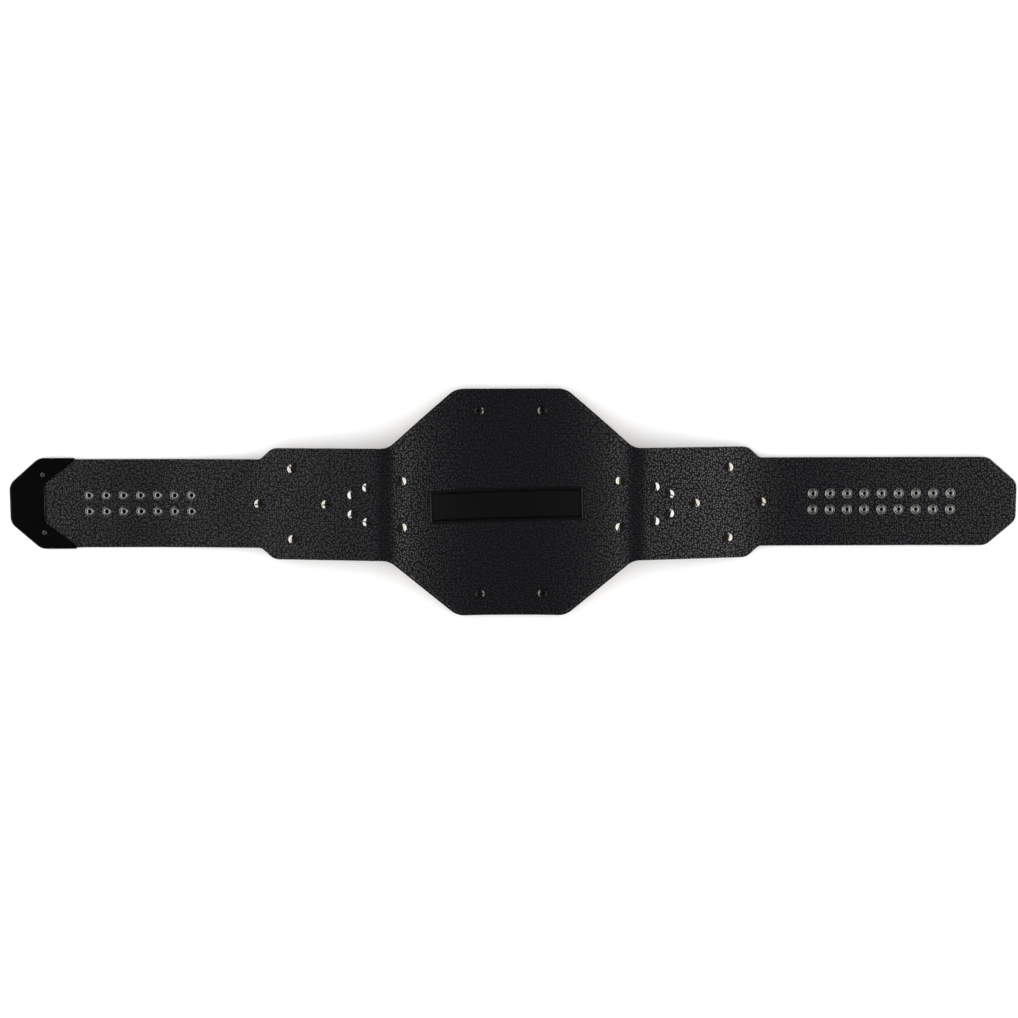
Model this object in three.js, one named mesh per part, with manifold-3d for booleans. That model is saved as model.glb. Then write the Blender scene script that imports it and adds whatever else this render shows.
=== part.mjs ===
// A championship title belt, unfastened and laid on its face, so that its back shows.
// A one-piece leather strap with a wide eight-sided panel in the middle carries five curved metal
// plates on its front. Slotted screws with domed heads hold them from the back. Press fasteners
// close the belt, with sockets on the left tail and studs on the right one, and a metal tip caps
// the left end.
//
// Lengths are millimetres. The belt runs along X, its width along Y, and its back faces +Z. The
// origin is on the surface that it lies on, under the middle of the centre plate.
// Places on the belt are flat ones: "along" the leather from its middle, "across" it, and "out"
// from its front face, which is 0, to its back, which is strapThickness. bent() and seatOn() bend
// them to the way that the belt lies.

import * as THREE from "three";
import { mergeVertices } from "three/addons/utils/BufferGeometryUtils.js";
import Module from "manifold-3d";

const wasm = await Module();
wasm.setup();

// Strap
const strapThickness = 3;
const strapHalf = 58.5;
const shoulderHalf = 73.3;
const panelHalf = 149.8;
const panelTopHalf = 72.5;
const panelFoot = 164;
const shoulderLength = 153.5;
const stepLength = 16.5;
const leftTailLength = 333.5;
const rightTailLength = 338.5;
const endFlatHalf = 25;
const endChamferLength = 38.5;
const strapBevel = 0.8;
const cornerRound = { panelTop: 28, panelFoot: 24, shoulder: 18, tail: 10, chamfer: 17, end: 16 };

// How the belt lies: the arc of the centre plate beyond its flat middle, and how finely the bends
// are faceted
const middleFlatHalf = 8;
const plateCurveRadius = 370;
const turnPerFacet = THREE.MathUtils.degToRad(4);
const longestFacet = 40;

// Clearance between pieces that touch, how far a cut runs past what it cuts, and how far the
// tidying of a cut may move its edges
const gap = 0.3;
const past = 1;
const cutTolerance = 0.004;

// Centre plate
const centrePlateMargin = 10.8;
const centrePlateThickness = 3.5;
const reliefHeight = 2.5;
const rimWidth = 9;
const medallionRadius = 62;
const medallionRimWidth = 8;
const medallionFloorHeight = 1.2;
const bossRadius = 22;

// Bar plates, beside the centre plate, and side plates, beyond them
const barStart = 14.4;
const barLength = 43;
const barInnerHalf = 37;
const barOuterHalf = 26;
const barThickness = 3;
const barReliefHeight = 1.2;
const barRimWidth = 4;
const plateSpacing = 14.3;
const sideLength = 110;
const sideTopLength = 48;
const sideHalf = 60;
const sideEndHalf = 22;
const sideThickness = 3;
const sideReliefHeight = 1.4;
const sideRimWidth = 5.5;
const sideBossRadius = 19;

// Plate screws
const screwHeadRadius = 5.9;
const screwHeadHeight = 2.4;
const screwHeadEdge = 0.5;
const screwShankRadius = 2.1;
const screwSeatDepth = 1.8;
const slotWidth = 1.5;
const slotDepth = 1;

// Label patch, sunk into the leather a little askew
const labelLength = 206;
const labelHeight = 44.6;
const labelMiddle = { along: -6, across: -2.7 };
const labelTilt = THREE.MathUtils.degToRad(1.5);
const labelThickness = 0.7;
const labelSunk = 0.3;

// Tip cap, with a notch that is open towards the belt
const tipCapLength = 86;
const tipCapWall = 1.4;
const notchDepth = 40;
const notchEndHalf = 26;
const notchMouthMargin = 2;
const tipScrewInset = 44.7;
const tipScrewMargin = 20.2;
const tipScrewHeadRadius = 2.6;
const tipScrewHeadHeight = 1.2;
const tipScrewShankRadius = 1.1;

// Press fasteners
const snapRowSpacing = 21.2;
const snapPitch = 22.65;
const socketCount = 7;
const studCount = 9;
const socketEndInset = 105.3;
const studEndInset = 86.2;
const snapFlangeRadius = 6.5;
const snapPostRadius = 2.6;
const socketHeight = 2.2;
const socketMouthRadius = 2.2;
const socketMouthDepth = 4;
const socketCapHeight = 1.3;
const studBackHeight = 1.3;
const studBaseRadius = 5.4;
const studBaseHeight = 0.9;
const studKnobRadius = 2.2;
const studKnobHeight = 2.9;

// Half-lengths and heights that follow from these
const shoulderEnd = panelFoot + shoulderLength;
const tailStart = shoulderEnd + stepLength;
const leftEnd = tailStart + leftTailLength;
const rightEnd = tailStart + rightTailLength;
const strapLeftEnd = leftEnd - tipCapWall - gap;
const centrePlateEnd = panelFoot - centrePlateMargin;
const centrePlateHalf = panelHalf - centrePlateMargin;
const barMiddle = panelFoot + barStart + barLength / 2;
const sideMiddle = barMiddle + barLength / 2 + plateSpacing + sideLength / 2;
const centrePlateReach = gap + centrePlateThickness + reliefHeight;
const tipCapReach = gap + tipCapWall;
const studReach = gap + studBaseHeight + studKnobHeight;

// How each half of the belt lies beyond the centre plate. At a share of the shoulder or of the
// tail, the leather falls at a share of that half's full fall, or rises by an angle in degrees.
const rightLie = [
  { part: "shoulder", share: 0.1, fall: 1 },
  { part: "shoulder", share: 0.85, fall: 1 },
  { part: "tail", share: 0.12, fall: 0 },
  { part: "tail", share: 0.5, fall: 0 },
  { part: "tail", share: 1, rise: 3 },
];
const leftLie = [
  { part: "shoulder", share: 0.1, fall: 1 },
  { part: "shoulder", share: 0.97, fall: 1 },
  { part: "tail", share: 0.1, fall: 0.6 },
  { part: "tail", share: 0.28, fall: 0.6 },
  { part: "tail", share: 0.48, fall: 0 },
  { part: "tail", share: 1, fall: 0 },
];

// The screws of each plate: shares of its half length, away from the belt's middle, and of its
// half height, and the turn of the slot in degrees from the belt's length
const centreScrews = [
  { run: -0.96, rise: 0.218, slot: -60 },
  { run: -0.96, rise: -0.218, slot: -70 },
  { run: -0.273, rise: 0.87, slot: 10 },
  { run: -0.273, rise: -0.87, slot: 0 },
  { run: 0.273, rise: 0.87, slot: 90 },
  { run: 0.273, rise: -0.87, slot: 20 },
  { run: 0.96, rise: 0.218, slot: 90 },
  { run: 0.96, rise: -0.218, slot: 60 },
];
const leftSideScrews = [
  { run: 0.827, rise: 0, slot: 15 },
  { run: 0, rise: 0.772, slot: -50 },
  { run: 0, rise: -0.772, slot: 80 },
  { run: -0.827, rise: 0, slot: 8 },
];
const rightSideScrews = [
  { run: -0.827, rise: 0, slot: -56 },
  { run: 0, rise: 0.772, slot: -80 },
  { run: 0, rise: -0.772, slot: 75 },
  { run: 0.827, rise: 0, slot: -30 },
];
const leftBarScrews = [
  { run: -0.44, rise: 0.61, slot: -35 },
  { run: -0.44, rise: -0.61, slot: -17 },
  { run: 0.49, rise: 0.34, slot: -75 },
  { run: 0.49, rise: -0.34, slot: 40 },
];
const rightBarScrews = [
  { run: -0.44, rise: 0.61, slot: -70 },
  { run: -0.44, rise: -0.61, slot: 80 },
  { run: 0.49, rise: 0.34, slot: -30 },
  { run: 0.49, rise: -0.34, slot: 70 },
];

const leather = new THREE.MeshStandardMaterial({ color: 0x1c1c1e, roughness: 0.55, metalness: 0 });
const labelBlack = new THREE.MeshStandardMaterial({ color: 0x0e0e10, roughness: 0.35, metalness: 0 });
const glossBlack = new THREE.MeshStandardMaterial({ color: 0x060707, roughness: 0.12, metalness: 0.3 });
const plateGold = new THREE.MeshStandardMaterial({ color: 0xc9a04a, roughness: 0.28, metalness: 1 });
const nickel = new THREE.MeshStandardMaterial({ color: 0xc9c5bf, roughness: 0.2, metalness: 1 });
const snapNickel = new THREE.MeshStandardMaterial({ color: 0xa8a49e, roughness: 0.28, metalness: 1 });

// Solids and geometries

function solidOf(geometry) {
  const bare = geometry.clone();
  bare.deleteAttribute("normal");
  bare.deleteAttribute("uv");
  const merged = mergeVertices(bare, 1e-4);
  const vertProperties = merged.attributes.position.array;
  const triVerts = new Uint32Array(merged.index.array);
  return new wasm.Manifold(new wasm.Mesh({ numProp: 3, vertProperties, triVerts }));
}

function geometryOf(solid) {
  const { vertProperties, triVerts } = solid.simplify(cutTolerance).getMesh();
  const geometry = new THREE.BufferGeometry();
  geometry.setAttribute("position", new THREE.BufferAttribute(vertProperties, 3));
  geometry.setIndex(new THREE.BufferAttribute(triVerts, 1));
  geometry.computeVertexNormals();
  return geometry;
}

const joined = (solids) => solids.reduce((whole, solid) => whole.add(solid));
const cutBy = (solid, cutters) => cutters.reduce((left, cutter) => left.subtract(cutter), solid);

// The way the belt lies

function alongOf({ part, share }, tailLength) {
  if (part === "shoulder") return panelFoot + share * shoulderLength;
  return tailStart + share * tailLength;
}

// The leather's slope at the ends of arcs, from the belt's middle to one end, for a full fall.
function slopesOf(lie, tailLength, fullFall) {
  return [
    { along: 0, slope: 0 },
    { along: middleFlatHalf, slope: 0 },
    { along: centrePlateEnd, slope: (centrePlateEnd - middleFlatHalf) / plateCurveRadius },
    ...lie.map((row) => ({
      along: alongOf(row, tailLength),
      slope: row.rise ? THREE.MathUtils.degToRad(row.rise) : -row.fall * fullFall,
    })),
  ];
}

// Where those arcs take the leather's front face, at a distance from the belt's middle.
function followed(slopes, along) {
  let x = 0;
  let z = centrePlateReach;
  let slope = 0;
  for (let i = 1; i < slopes.length && slopes[i - 1].along < along; i++) {
    const from = slopes[i - 1];
    const run = Math.min(along, slopes[i].along) - from.along;
    const curve = (slopes[i].slope - from.slope) / (slopes[i].along - from.along);
    slope = from.slope + curve * run;
    if (Math.abs(curve) < 1e-9) {
      x += run * Math.cos(slope);
      z += run * Math.sin(slope);
    } else {
      x += (Math.sin(slope) - Math.sin(from.slope)) / curve;
      z -= (Math.cos(slope) - Math.cos(from.slope)) / curve;
    }
  }
  return { x, z, slope };
}

// The slopes of a half whose fall brings its tail down to the height at which it rests.
function layDown(lie, tailLength, restHeight) {
  const restPlace = alongOf(lie.find((row) => row.fall === 0), tailLength);
  let low = 0;
  let high = Math.PI / 3;
  for (let i = 0; i < 40; i++) {
    const fall = (low + high) / 2;
    if (followed(slopesOf(lie, tailLength, fall), restPlace).z > restHeight) low = fall;
    else high = fall;
  }
  return slopesOf(lie, tailLength, low);
}

// Distances from the belt's middle at which one half is faceted.
function facetEnds(slopes) {
  return slopes.slice(1).flatMap((to, i) => {
    const from = slopes[i];
    const length = to.along - from.along;
    const turns = Math.abs(to.slope - from.slope) / turnPerFacet;
    const count = Math.ceil(Math.max(turns, length / longestFacet));
    return Array.from({ length: count }, (_, k) => from.along + (length * (k + 1)) / count);
  });
}

const rightSlopes = layDown(rightLie, rightTailLength, studReach);
const leftSlopes = layDown(leftLie, leftTailLength, tipCapReach);
const bends = [
  ...facetEnds(leftSlopes).map((along) => {
    const { x, z, slope } = followed(leftSlopes, along);
    return { along: -along, x: -x, z, slope: -slope };
  }),
  ...facetEnds(rightSlopes).map((along) => ({ along, ...followed(rightSlopes, along) })),
].sort((a, b) => a.along - b.along);

function facetAt(along) {
  const next = bends.findIndex((bend, i) => i > 0 && bend.along >= along);
  const to = bends.at(next);
  const from = bends.at(next - 1);
  return { from, to, share: (along - from.along) / (to.along - from.along) };
}

function bent(along, across, out) {
  const { from, to, share } = facetAt(along);
  const [start, end] = [from, to].map(
    ({ x, z, slope }) =>
      new THREE.Vector3(x - out * Math.sin(slope), across, z + out * Math.cos(slope)),
  );
  return start.lerp(end, share);
}

function slopeAt(along) {
  const { from, to, share } = facetAt(along);
  return THREE.MathUtils.lerp(from.slope, to.slope, share);
}

// Outlines: the upper half of a shape that is the same above and below the belt's middle line,
// as corners from left to right, starting and ending on that line

const reflected = (corners) =>
  corners.toReversed().map((corner) => ({ ...corner, along: -corner.along }));
const shifted = (corners, by) => corners.map((corner) => ({ ...corner, along: corner.along + by }));

function eightSided(end, endHalf, topHalf, half) {
  const left = [
    { along: -end, across: 0 },
    { along: -end, across: endHalf },
    { along: -topHalf, across: half },
  ];
  return [...left, ...reflected(left)];
}

function disc(radius, sides = 16) {
  const step = (2 * Math.PI) / sides;
  const end = radius * Math.cos(step / 2);
  const corners = Array.from({ length: sides / 2 }, (_, i) => ({
    along: -radius * Math.cos((i + 0.5) * step),
    across: radius * Math.sin((i + 0.5) * step),
  }));
  return [{ along: -end, across: 0 }, ...corners, { along: end, across: 0 }];
}

function insetCorners(corners, by) {
  const inward = (from, to) => {
    const ahead = new THREE.Vector2(to.along - from.along, to.across - from.across).normalize();
    return new THREE.Vector2(ahead.y, -ahead.x);
  };
  return corners.map((corner, i) => {
    if (i === 0) return { ...corner, along: corner.along + by };
    if (i === corners.length - 1) return { ...corner, along: corner.along - by };
    const before = inward(corners[i - 1], corner);
    const after = inward(corner, corners[i + 1]);
    const shift = before.clone().add(after).multiplyScalar(by / (1 + before.dot(after)));
    const round = corner.round && Math.max(corner.round - by, 0);
    return { along: corner.along + shift.x, across: corner.across + shift.y, round };
  });
}

// The line through an outline's corners above the middle, with the round ones rounded.
function lineThrough(corners, steps = 3) {
  const points = corners.map((corner) => new THREE.Vector2(corner.along, corner.across));
  return corners.slice(1, -1).flatMap((corner, i) => {
    const [back, here, ahead] = points.slice(i, i + 3);
    if (!corner.round) return [here];
    const toBack = back.clone().sub(here);
    const toAhead = ahead.clone().sub(here);
    const turn = Math.PI - toBack.angleTo(toAhead);
    const room = Math.min(toBack.length(), toAhead.length()) * 0.49;
    const setBack = Math.min(corner.round * Math.tan(turn / 2), room);
    const start = here.clone().add(toBack.setLength(setBack));
    const end = here.clone().add(toAhead.setLength(setBack));
    return new THREE.QuadraticBezierCurve(start, here, end).getPoints(steps);
  });
}

function halfAt(line, along) {
  const next = line.findIndex((point) => point.x >= along - 1e-6);
  if (next <= 0) return line.at(next).y;
  const [from, to] = [line[next - 1], line[next]];
  return THREE.MathUtils.mapLinear(along, from.x, to.x, from.y, to.y);
}

// An outline's own places along the belt, and the bends between them.
function stationsOf(line) {
  const shortest = 0.5;
  const own = line.map((point) => point.x).filter((x, i, all) => i === 0 || x - all[i - 1] > 1e-3);
  const between = bends
    .map((bend) => bend.along)
    .filter((along) => along > own[0] && along < own.at(-1))
    .filter((along) => own.every((x) => Math.abs(x - along) > shortest));
  return [...own, ...between].sort((a, b) => a - b);
}

// A closed skin through sections of the same number of points, which run anticlockwise as seen
// from the left end.
function lofted(sections) {
  const count = sections[0].length;
  const last = sections.length - 1;
  const corner = (i, k) => i * count + (k % count);
  const triangles = [];
  for (let k = 0; k < count; k++) {
    for (let i = 0; i < last; i++) {
      triangles.push(corner(i, k), corner(i + 1, k + 1), corner(i + 1, k));
      triangles.push(corner(i, k), corner(i, k + 1), corner(i + 1, k + 1));
    }
  }
  for (let k = 1; k < count - 1; k++) {
    triangles.push(corner(0, 0), corner(0, k + 1), corner(0, k));
    triangles.push(corner(last, 0), corner(last, k), corner(last, k + 1));
  }
  const geometry = new THREE.BufferGeometry().setFromPoints(sections.flat());
  geometry.setIndex(triangles);
  return solidOf(geometry);
}

const squareEdged = (half, low, high) => [
  [-half, low],
  [half, low],
  [half, high],
  [-half, high],
];

const bevelled = (half, low, high) => [
  [-half, (low + high) / 2],
  [strapBevel - half, low],
  [half - strapBevel, low],
  [half, (low + high) / 2],
  [half - strapBevel, high],
  [strapBevel - half, high],
];

// A sheet of an outline, from one level out of the leather's front face to another, bent with it.
function sheet(corners, low, high, section = squareEdged) {
  const line = lineThrough(corners);
  return lofted(
    stationsOf(line).map((along) =>
      section(halfAt(line, along), low, high).map(([across, out]) => bent(along, across, out)),
    ),
  );
}

// Small pieces are made upright, then seated on the leather and turned about their own axis.
function seatOn(object, { along, across, out, turn = 0 }) {
  object.position.copy(bent(along, across, out));
  object.rotation.set(0, -slopeAt(along), 0);
  object.rotateZ(THREE.MathUtils.degToRad(turn));
  object.updateMatrix();
  return object;
}

const seatedSolid = (geometry, place) =>
  solidOf(geometry.clone().applyMatrix4(seatOn(new THREE.Object3D(), place).matrix));

// A turned piece from its profile of radius and height, listed from its lowest point upwards.
function turned(profile, sides = 8) {
  const points = profile.map(([radius, height]) => new THREE.Vector2(radius, height));
  return new THREE.LatheGeometry(points, sides).rotateX(Math.PI / 2);
}

// A hole in which a round post of that radius has its clearance all round.
function hole(radius, { along, across }, low, high, sides = 6) {
  const corner = (radius + gap) / Math.cos(Math.PI / sides);
  const cylinder = new THREE.CylinderGeometry(corner, corner, high - low, sides);
  return seatedSolid(cylinder.rotateX(Math.PI / 2), { along, across, out: (low + high) / 2 });
}

// Where the small pieces go

function screwPlaces(rows, side, { middle, halfLength, half }) {
  return rows.map(({ run, rise, slot }) => ({
    along: side * (middle + run * halfLength),
    across: rise * half,
    out: strapThickness + gap,
    turn: slot,
  }));
}
const centre = { middle: 0, halfLength: centrePlateEnd, half: centrePlateHalf };
const side = { middle: sideMiddle, halfLength: sideLength / 2, half: sideHalf };
const bar = { middle: barMiddle, halfLength: barLength / 2, half: barInnerHalf };
const centrePlaces = screwPlaces(centreScrews, 1, centre);
const leftSidePlaces = screwPlaces(leftSideScrews, -1, side);
const rightSidePlaces = screwPlaces(rightSideScrews, 1, side);
const leftBarPlaces = screwPlaces(leftBarScrews, -1, bar);
const rightBarPlaces = screwPlaces(rightBarScrews, 1, bar);

const tipScrewPlaces = [1, -1].map((upOrDown) => ({
  along: tipScrewInset - leftEnd,
  across: upOrDown * (strapHalf - tipScrewMargin),
  out: strapThickness + gap + tipCapWall + gap,
}));

function snapPlaces(name, count, alongOfFirst) {
  return ["upper", "lower"].flatMap((row) =>
    Array.from({ length: count }, (_, i) => ({
      name: `${name}_${row}_${i + 1}`,
      along: alongOfFirst + i * snapPitch,
      across: (row === "upper" ? 0.5 : -0.5) * snapRowSpacing,
      out: strapThickness + gap,
    })),
  );
}
const socketPlaces = snapPlaces("socket", socketCount, socketEndInset - leftEnd);
const studPlaces = snapPlaces("stud", studCount, rightEnd - studEndInset - (studCount - 1) * snapPitch);

// Strap and label

const leftEndCorners = [
  { along: -strapLeftEnd, across: 0 },
  { along: -strapLeftEnd, across: endFlatHalf, round: cornerRound.end },
  { along: -strapLeftEnd + endChamferLength, across: strapHalf, round: cornerRound.chamfer },
];
const rightEndCorners = [
  { along: rightEnd - endChamferLength, across: strapHalf, round: cornerRound.chamfer },
  { along: rightEnd, across: endFlatHalf, round: cornerRound.end },
  { along: rightEnd, across: 0 },
];
const leftPanelCorners = [
  { along: -tailStart, across: strapHalf, round: cornerRound.tail },
  { along: -shoulderEnd, across: shoulderHalf, round: cornerRound.shoulder },
  { along: -panelFoot, across: shoulderHalf, round: cornerRound.panelFoot },
  { along: -panelTopHalf, across: panelHalf, round: cornerRound.panelTop },
];
const strapOutline = [
  ...leftEndCorners,
  ...leftPanelCorners,
  ...reflected(leftPanelCorners),
  ...rightEndCorners,
];

// A slab under the label's outline, widened by a margin, from one level to another.
function labelSlab(margin, low, high) {
  const facets = 12;
  const length = labelLength + 2 * margin;
  const cos = Math.cos(labelTilt);
  const sin = Math.sin(labelTilt);
  return lofted(
    Array.from({ length: facets + 1 }, (_, i) => {
      const run = length * (i / facets - 0.5);
      return squareEdged(labelHeight / 2 + margin, low, high).map(([rise, out]) =>
        bent(
          labelMiddle.along + run * cos - rise * sin,
          labelMiddle.across + run * sin + rise * cos,
          out,
        ),
      );
    }),
  );
}
const labelTop = strapThickness - labelSunk;
const labelBottom = labelTop - labelThickness;

function makeStrap() {
  const through = (radius) => (place) => hole(radius, place, -past, strapThickness + past);
  const screws = [centrePlaces, leftSidePlaces, rightSidePlaces, leftBarPlaces, rightBarPlaces];
  return cutBy(sheet(strapOutline, 0, strapThickness, bevelled), [
    ...screws.flat().map(through(screwShankRadius)),
    ...[...socketPlaces, ...studPlaces].map(through(snapPostRadius)),
    ...tipScrewPlaces.map(through(tipScrewShankRadius)),
    labelSlab(gap, labelBottom - gap, strapThickness + past),
  ]);
}

// Plates. Each has a raised rim on its front, round a field that is cut away around what it holds.

const frontOf = (height) => -gap - height;

function rimmedPlate(outline, thickness, relief, rim, held) {
  const low = frontOf(thickness + relief);
  const field = sheet(insetCorners(outline, rim), low - past, frontOf(thickness));
  return sheet(outline, low, frontOf(0)).subtract(held ? field.subtract(held) : field);
}

const column = (outline, thickness, relief) =>
  sheet(outline, frontOf(thickness + relief) - 2 * past, frontOf(thickness) + past);

const screwSeats = (places) =>
  places.map((place) => hole(screwShankRadius, place, frontOf(screwSeatDepth + gap), past));

function makeCentrePlate() {
  const relief = [centrePlateThickness, reliefHeight];
  const panel = eightSided(panelFoot, shoulderHalf, panelTopHalf, panelHalf);
  const plate = rimmedPlate(
    insetCorners(panel, centrePlateMargin),
    ...relief,
    rimWidth,
    column(disc(medallionRadius), ...relief),
  );
  const medallionField = sheet(
    disc(medallionRadius - medallionRimWidth),
    frontOf(centrePlateThickness + reliefHeight + past),
    frontOf(centrePlateThickness + medallionFloorHeight),
  );
  return cutBy(plate, [
    medallionField.subtract(column(disc(bossRadius), ...relief)),
    ...screwSeats(centrePlaces),
  ]);
}

function makeSidePlate(leftOrRight, places) {
  const middle = leftOrRight * sideMiddle;
  const outline = eightSided(sideLength / 2, sideEndHalf, sideTopLength / 2, sideHalf);
  const boss = column(shifted(disc(sideBossRadius), middle), sideThickness, sideReliefHeight);
  return cutBy(
    rimmedPlate(shifted(outline, middle), sideThickness, sideReliefHeight, sideRimWidth, boss),
    screwSeats(places),
  );
}

// The four screws of a bar plate are one piece with it.
function makeBarPlate(leftOrRight, places) {
  const right = [
    { along: barMiddle - barLength / 2, across: 0 },
    { along: barMiddle - barLength / 2, across: barInnerHalf },
    { along: barMiddle + barLength / 2, across: barOuterHalf },
    { along: barMiddle + barLength / 2, across: 0 },
  ];
  return joined([
    rimmedPlate(leftOrRight > 0 ? right : reflected(right), barThickness, barReliefHeight, barRimWidth),
    ...places.map((place) => seatedSolid(plateScrew, place)),
  ]);
}

// Screws

function makePlateScrew() {
  const tip = -(strapThickness + 2 * gap + screwSeatDepth);
  const body = turned([
    [0, tip],
    [screwShankRadius, tip],
    [screwShankRadius, 0],
    [screwHeadRadius, 0],
    [screwHeadRadius, screwHeadEdge],
    [screwHeadRadius * 0.62, screwHeadHeight * 0.82],
    [0, screwHeadHeight],
  ]);
  const slot = new THREE.BoxGeometry(screwHeadRadius * 3, slotWidth, slotDepth * 2);
  return geometryOf(solidOf(body).subtract(solidOf(slot.translate(0, 0, screwHeadHeight))));
}
const plateScrew = makePlateScrew();

function makeTipScrew() {
  const tip = -(tipCapWall + 2 * gap + strapThickness);
  return turned([
    [0, tip],
    [tipScrewShankRadius, tip],
    [tipScrewShankRadius, 0],
    [tipScrewHeadRadius, 0],
    [tipScrewHeadRadius * 0.8, tipScrewHeadHeight * 0.75],
    [0, tipScrewHeadHeight],
  ]);
}

// Tip cap, a pocket that the strap's end fits

function tipCapOutline(clearance, mouth) {
  const corners = [
    ...leftEndCorners,
    { along: mouth, across: strapHalf },
    { along: mouth, across: 0 },
  ];
  return insetCorners(corners, -clearance).map((corner, i) =>
    i < leftEndCorners.length ? corner : { ...corner, along: mouth },
  );
}

function makeTipCap() {
  const mouth = tipCapLength - leftEnd;
  const notchStart = mouth - notchDepth;
  const widening = (strapHalf - notchMouthMargin - notchEndHalf) / notchDepth;
  const notch = [
    { along: notchStart, across: 0 },
    { along: notchStart, across: notchEndHalf, round: 3 },
    { along: mouth + past, across: notchEndHalf + widening * (notchDepth + past) },
    { along: mouth + past, across: 0 },
  ];
  const low = frontOf(tipCapWall);
  const high = strapThickness + gap + tipCapWall;
  return cutBy(sheet(tipCapOutline(gap + tipCapWall, mouth), low, high), [
    sheet(tipCapOutline(gap, mouth + past), -gap, strapThickness + gap),
    sheet(notch, low - past, high + past),
    ...tipScrewPlaces.map((place) => hole(tipScrewShankRadius, place, strapThickness, high + past)),
  ]);
}

// Press fasteners, each riveted through the leather from both sides

function makeSocket() {
  const front = -strapThickness - 2 * gap;
  return turned([
    [0, front - socketCapHeight],
    [snapFlangeRadius * 0.8, front - socketCapHeight],
    [snapFlangeRadius, front],
    [snapPostRadius, front],
    [snapPostRadius, 0],
    [snapFlangeRadius, 0],
    [snapFlangeRadius * 0.78, socketHeight],
    [socketMouthRadius, socketHeight],
    [socketMouthRadius, socketHeight - socketMouthDepth],
    [0, socketHeight - socketMouthDepth],
  ]);
}

function makeStud() {
  const front = -strapThickness - 2 * gap;
  const base = front - studBaseHeight;
  return turned([
    [0, base - studKnobHeight],
    [studKnobRadius, base - studKnobHeight],
    [studKnobRadius, base],
    [studBaseRadius, front],
    [snapPostRadius, front],
    [snapPostRadius, 0],
    [snapFlangeRadius, 0],
    [snapFlangeRadius * 0.8, studBackHeight],
    [0, studBackHeight],
  ]);
}

// The belt

const belt = new THREE.Group();

function addPiece(name, geometry, material, place) {
  const mesh = new THREE.Mesh(geometry, material);
  mesh.name = name;
  if (place) seatOn(mesh, place);
  belt.add(mesh);
}

addPiece("strap", geometryOf(makeStrap()), leather);
addPiece("label_patch", geometryOf(labelSlab(0, labelBottom, labelTop)), labelBlack);
addPiece("tip_cap", geometryOf(makeTipCap()), glossBlack);
addPiece("centre_plate", geometryOf(makeCentrePlate()), plateGold);
addPiece("side_plate_left", geometryOf(makeSidePlate(-1, leftSidePlaces)), plateGold);
addPiece("side_plate_right", geometryOf(makeSidePlate(1, rightSidePlaces)), plateGold);
addPiece("bar_plate_left", geometryOf(makeBarPlate(-1, leftBarPlaces)), plateGold);
addPiece("bar_plate_right", geometryOf(makeBarPlate(1, rightBarPlaces)), plateGold);

const screws = { centre_screw: centrePlaces, left_screw: leftSidePlaces, right_screw: rightSidePlaces };
for (const [name, places] of Object.entries(screws)) {
  places.forEach((place, i) => addPiece(`${name}_${i + 1}`, plateScrew, nickel, place));
}
const tipScrew = makeTipScrew();
tipScrewPlaces.forEach((place, i) => addPiece(`tip_screw_${i + 1}`, tipScrew, nickel, place));

const socket = makeSocket();
const stud = makeStud();
socketPlaces.forEach(({ name, ...place }) => addPiece(name, socket, snapNickel, place));
studPlaces.forEach(({ name, ...place }) => addPiece(name, stud, snapNickel, place));

export default belt;
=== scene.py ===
"""A championship title belt that lies on its face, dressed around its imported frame.

The leather, the plates and the tip cap are made flat, as a belt maker cuts them, and are then bent
to the way that the frame's strap lies. Flat places are along the belt from its middle, across it,
and out from the leather's front face, which is 0, to its back.
"""

import math
from typing import NamedTuple

import bmesh
import bpy
import numpy as np
from mathutils import Matrix, Vector
from mathutils.bvhtree import BVHTree


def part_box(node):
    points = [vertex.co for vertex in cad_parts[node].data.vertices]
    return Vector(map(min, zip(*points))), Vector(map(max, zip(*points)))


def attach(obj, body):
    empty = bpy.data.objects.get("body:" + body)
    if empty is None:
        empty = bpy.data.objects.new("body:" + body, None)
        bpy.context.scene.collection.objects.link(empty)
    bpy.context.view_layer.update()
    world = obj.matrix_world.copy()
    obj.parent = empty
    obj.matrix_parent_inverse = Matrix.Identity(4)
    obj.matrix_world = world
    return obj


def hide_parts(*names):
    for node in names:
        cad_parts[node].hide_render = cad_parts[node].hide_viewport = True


bl_info = {
    "name": "Championship Title Belt",
    "version": (1, 0, 0),
    "blender": (4, 5, 0),
    "location": "View3D > Sidebar > Title Belt",
    "description": "Dresses a title belt's frame in leather, plates, screws and press fasteners",
    "category": "Add Mesh",
}

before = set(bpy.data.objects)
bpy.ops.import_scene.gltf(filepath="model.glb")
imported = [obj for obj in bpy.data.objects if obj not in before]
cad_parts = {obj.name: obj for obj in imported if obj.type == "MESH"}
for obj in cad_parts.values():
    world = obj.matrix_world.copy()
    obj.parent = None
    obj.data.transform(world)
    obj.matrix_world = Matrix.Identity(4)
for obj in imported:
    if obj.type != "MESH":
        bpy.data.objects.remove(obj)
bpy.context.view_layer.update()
MM = 0.001


# The way the belt lies

def coordinates(mesh):
    flat = np.empty(len(mesh.vertices) * 3)
    mesh.vertices.foreach_get("co", flat)
    return flat.reshape(-1, 3)


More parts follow.
